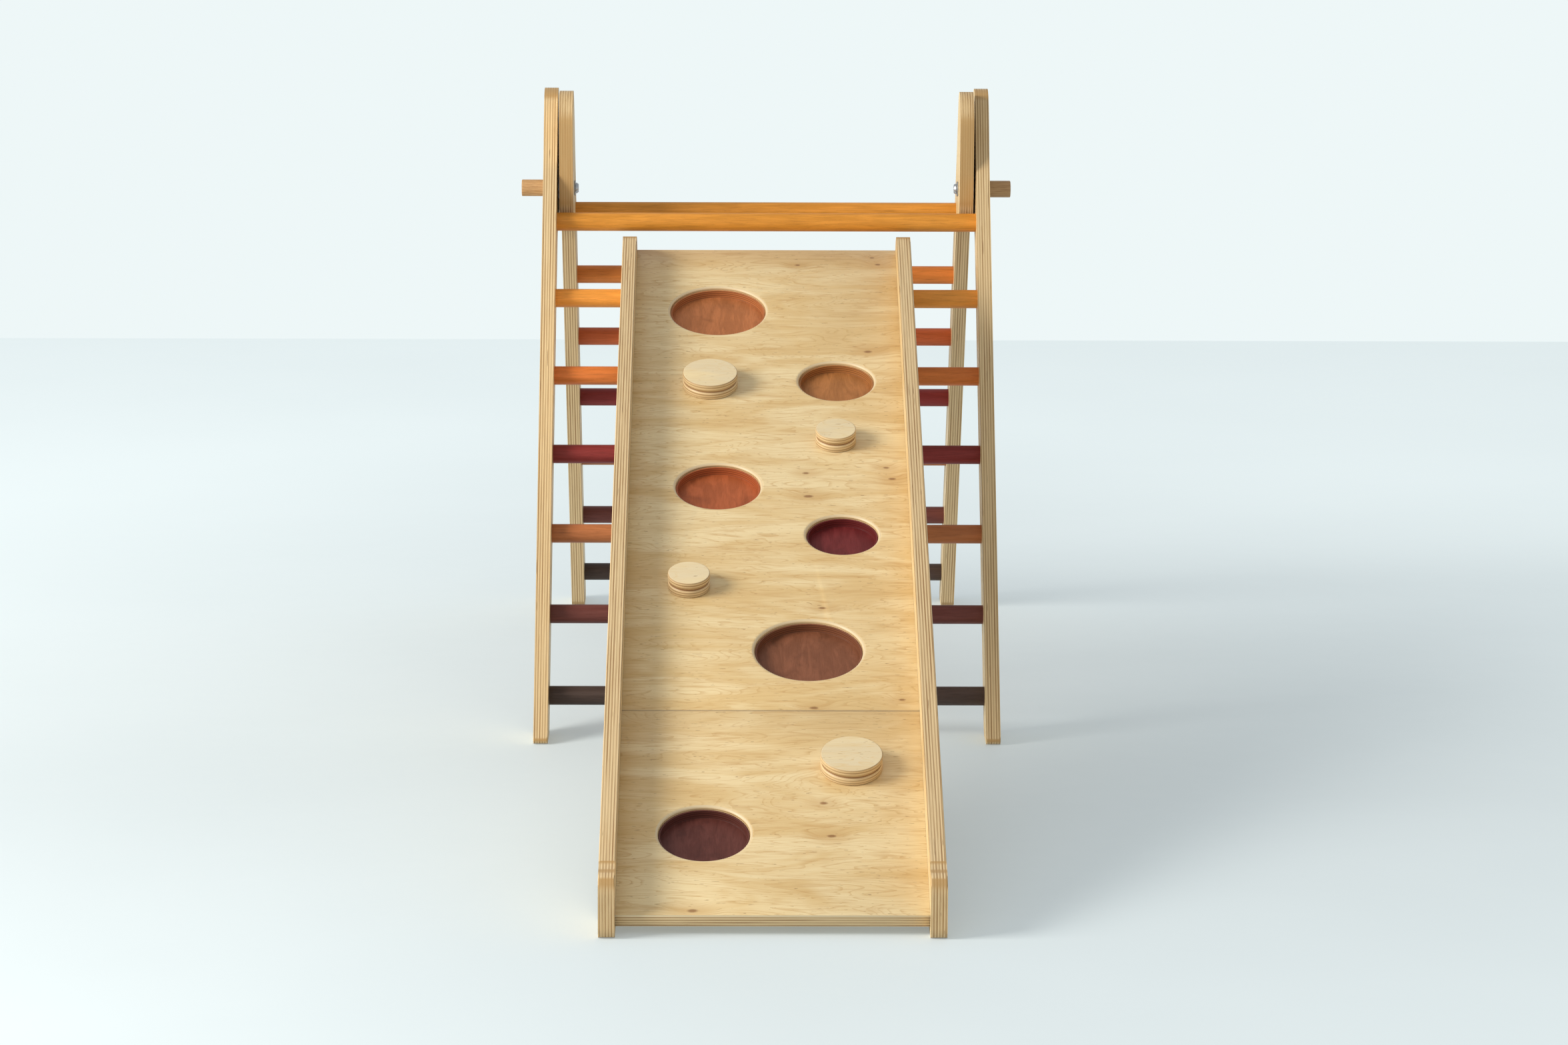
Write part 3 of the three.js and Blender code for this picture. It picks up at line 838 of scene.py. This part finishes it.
def make_board(name, node, low, high, place, material):
    half = SLIDE_WIDTH / 2 - PLY + GROOVE - GAP
    bm = block((-half, half), (low, high), (FACE - BOARD, FACE))
    edges = list(bm.edges)
    bmesh.ops.bevel(bm, geom=edges, offset=BOARD_EDGE_ROUND, segments=2, profile=0.5, affect="EDGES")
    piece = mesh_object(name, bm, place)
    cutters = []
    for x, y, radius in POCKETS.values():
        if low < y < high:
            at = place @ Matrix.Translation((x, y, 0))
            cutters.append(mesh_object("pocket_cutter", pocket_cutter(radius), at))
    for x, y, _ in HOLDS.values():
        if low < y < high:
            bore = SCREW_RADIUS + GAP
            profile = [(0, FACE - BOARD - 1), (bore, FACE - BOARD - 1), (bore, FACE + 1), (0, FACE + 1)]
            rod = turned(profile, 16, "Z")
            cutters.append(mesh_object("screw_cutter", rod, place @ Matrix.Translation((x, y, 0))))
    cut(piece, cutters)
    shade_board(piece)
    finish(piece, "slide", node, material)


def shade_board(piece):
    """The flat faces stay flat and the pockets' walls and mouths are smooth."""
    for face in piece.data.polygons:
        face.use_smooth = face.area < 4e-4
    piece.data.set_sharp_from_angle(angle=math.radians(SMOOTH_ANGLE))


def make_cup(node, place, material):
    x, y, radius = POCKETS[node]
    under = FACE - BOARD - GAP
    outer = radius - GAP
    floor = FACE - POCKET_DEPTH
    rim = FACE - STAIN_DROP
    profile = [(0, under - CUP_FLANGE_THICKNESS), (radius + CUP_FLANGE, under - CUP_FLANGE_THICKNESS)]
    profile += [(radius + CUP_FLANGE, under), (outer, under), (outer, rim)]
    inside = rounded([(outer, rim), (outer - CUP_WALL, rim), (outer - CUP_WALL, floor), (0, floor)], 0.7, 3)
    bm = turned(profile + inside[1:], DISC_SEGMENTS, "Z")
    stain = node.split("_")[2]
    piece = smooth(mesh_object("cup_" + node.split("_")[1], bm, place @ Matrix.Translation((x, y, 0))))
    finish(piece, "slide", node, material)


def make_hold(node, place, materials):
    x, y, radius = HOLDS[node]
    base = FACE + GAP
    waist = base + HOLD_HEIGHT * 0.5
    top = base + HOLD_HEIGHT
    bore = SCREW_RADIUS + GAP
    bite = base + SCREW_BITE + 1
    at = place @ Matrix.Translation((x, y, 0))
    outside = [(bore, base), (radius - 1, base), (radius, base + 1), (radius, waist - HOLD_GROOVE)]
    outside += [(radius - HOLD_GROOVE, waist), (radius, waist + HOLD_GROOVE), (radius, top), (0, top)]
    profile = rounded(outside, 1.7, 4) + [(0, bite), (bore, bite), (bore, base)]
    piece = smooth(mesh_object(node + "_disc", turned(profile, DISC_SEGMENTS, "Z"), at), HOLD_SMOOTH_ANGLE)
    finish(piece, "slide", node, materials["hold"])
    under = FACE - BOARD - GAP
    tip = FACE + SCREW_BITE
    head = [(0, under - SCREW_HEAD + 1), (1.7, under - SCREW_HEAD + 1), (2.1, under - SCREW_HEAD)]
    head += [(SCREW_HEAD_RADIUS - 0.6, under - SCREW_HEAD), (SCREW_HEAD_RADIUS, under - SCREW_HEAD + 0.8)]
    shank = [(SCREW_HEAD_RADIUS, under), (SCREW_RADIUS, under), (SCREW_RADIUS, tip), (0, tip)]
    piece = smooth(mesh_object(node + "_bolt", turned(head + shank, 32, "Z"), at))
    finish(piece, "slide", node + "_screw", materials["steel"])


def make_batten(place, material):
    under = FACE - BOARD - GAP
    reach = SLIDE_WIDTH / 2 - PLY - GAP
    along = (SEAM - BATTEN_WIDTH / 2, SEAM + BATTEN_WIDTH / 2)
    bm = block((-reach, reach), along, (under - BATTEN, under))
    edges = list(bm.edges)
    bmesh.ops.bevel(bm, geom=edges, offset=BATTEN_EDGE_ROUND, segments=3, profile=0.5, affect="EDGES")
    piece = smooth(mesh_object("seam_strip", bm, place))
    finish(piece, "slide", "seam_batten", material)


def make_slide(materials):
    place = slide_place()
    make_slide_rail("left", -1, place, materials["slide_left"])
    make_slide_rail("right", 1, place, materials["slide_right"])
    make_board("board_upper", "slide_board_upper", SEAM + GAP, SLIDE_TOP, place, materials["board"])
    make_board("board_lower", "slide_board_lower", BOARD_TOE, SEAM, place, materials["board"])
    make_batten(place, materials["batten"])
    for node in POCKETS:
        make_cup(node, place, materials["cup_" + node.split("_")[2]])
    for node in HOLDS:
        make_hold(node, place, materials)


# ---- everything ----


def make_materials():
    front_inner = FRAME_WIDTH / 2 - PLY
    rear_inner = front_inner - LADDER_GAP - PLY
    slide_inner = SLIDE_WIDTH / 2 - PLY
    made = {
        "board": board_material(),
        "hold": hold_material(),
        "knob": knob_material(),
        "steel": steel_material(),
        "batten": ply_material("ply_batten", slide_place(), 2, 0, FACE - BOARD - GAP - BATTEN),
    }
    for prefix, inner, side in (("front", front_inner, -1), ("rear", rear_inner, 1)):
        place = ladder_place(side)
        made[f"{prefix}_left"] = ply_material(f"ply_{prefix}_left", place, 0, 2, -side * inner)
        made[f"{prefix}_right"] = ply_material(f"ply_{prefix}_right", place, 0, 2, side * inner)
    made["slide_left"] = ply_material("ply_slide_left", slide_place(), 0, 1, -slide_inner)
    made["slide_right"] = ply_material("ply_slide_right", slide_place(), 0, 1, slide_inner)
    for stain in STAINS:
        made["rung_" + stain] = rung_material(stain)
    for stain in CUP_STAINS:
        made["cup_" + stain] = cup_material(stain)
    return made


def make_floor():
    """A plain pale floor that ends some way behind the object and glows a little, more so far away."""
    bm = bmesh.new()
    bm.faces.new([bm.verts.new((x, y, 0)) for x, y in FLOOR_CORNERS])
    mesh = bpy.data.meshes.new("studio_floor")
    bm.to_mesh(mesh)
    bm.free()
    floor = bpy.data.objects.new("studio_floor", mesh)
    bpy.context.scene.collection.objects.link(floor)
    n = Nodes("pale_floor")
    position = n.position()
    cloud = n.noise(n.stretched(position, (0.0011, 0.0011, 0.0011)), 1.0, 3.0, 0.5)
    speck = n.noise(n.stretched(position, (0.02, 0.02, 0.02)), 1.0, 4.0, 0.6)
    colour = n.mix(n.range(cloud, 0.35, 0.65), *FLOOR_COLOURS)
    material = n.surface(colour, n.range(speck, 0.3, 0.7, 0.55, 0.62, False))
    x, y, _ = n.split(position)
    away = n.math("ADD", n.math("ABSOLUTE", x), n.math("ABSOLUTE", n.math("SUBTRACT", y, GLOW_CENTRE_Y)))
    glow = n.mix(n.range(away, *FLOOR_GLOW_REACH), FLOOR_GLOW_NEAR, FLOOR_GLOW_FAR)
    n.place(n.shader.inputs["Emission Color"], glow)
    n.shader.inputs["Emission Strength"].default_value = 1.0
    mesh.materials.append(material)


def area_light(name, location, target, size, power, colour):
    """A rectangular light at one place, aimed at another."""
    data = bpy.data.lights.new(name, "AREA")
    data.shape = "RECTANGLE"
    data.size, data.size_y = size
    data.energy = power
    data.color = colour
    light = bpy.data.objects.new(name, data)
    bpy.context.scene.collection.objects.link(light)
    light.location = location
    toward = Vector(target) - Vector(location)
    light.rotation_euler = toward.to_track_quat("-Z", "Y").to_euler()


def make_lights():
    """A soft window on the left, a weak fill from the front, and an even pale room."""
    world = bpy.data.worlds.new("studio")
    bpy.context.scene.world = world
    world.use_nodes = True
    tree = world.node_tree
    room = tree.nodes["Background"]
    room.inputs[0].default_value = ROOM_COLOUR
    room.inputs[1].default_value = ROOM_STRENGTH
    wall = tree.nodes.new("ShaderNodeBackground")
    wall.inputs[0].default_value = WALL_COLOUR
    wall.inputs[1].default_value = 1.0
    seen = tree.nodes.new("ShaderNodeLightPath")
    either = tree.nodes.new("ShaderNodeMixShader")
    tree.links.new(seen.outputs["Is Camera Ray"], either.inputs[0])
    tree.links.new(room.outputs[0], either.inputs[1])
    tree.links.new(wall.outputs[0], either.inputs[2])
    tree.links.new(either.outputs[0], tree.nodes["World Output"].inputs[0])
    area_light("window", *WINDOW)
    area_light("front_fill", *FRONT_FILL)


def make_camera():
    data = bpy.data.cameras.new("camera")
    data.sensor_fit = "HORIZONTAL"
    data.sensor_width = CAMERA_SENSOR
    data.lens = CAMERA_LENS
    data.dof.use_dof = False
    data.clip_end = 100
    camera = bpy.data.objects.new("camera", data)
    bpy.context.scene.collection.objects.link(camera)
    yaw = Matrix.Rotation(math.radians(CAMERA_YAW), 4, "Z")
    tilt = Matrix.Rotation(math.radians(CAMERA_TILT), 4, "X")
    roll = Matrix.Rotation(math.radians(CAMERA_ROLL), 4, "Z")
    camera.matrix_world = Matrix.Translation(CAMERA_AT) @ yaw @ tilt @ roll
    bpy.context.scene.camera = camera


bpy.context.scene.view_settings.view_transform = "Standard"
looks = make_materials()
make_ladder("front", "front_ladder", FRAME_WIDTH / 2 - PLY, -1, looks)
make_ladder("rear", "rear_ladder", FRAME_WIDTH / 2 - 2 * PLY - LADDER_GAP, 1, looks)
for side_name, side_sign in (("left", -1), ("right", 1)):
    make_pivot_set(side_name, side_sign, looks)
make_slide(looks)
make_floor()
make_lights()
make_camera()
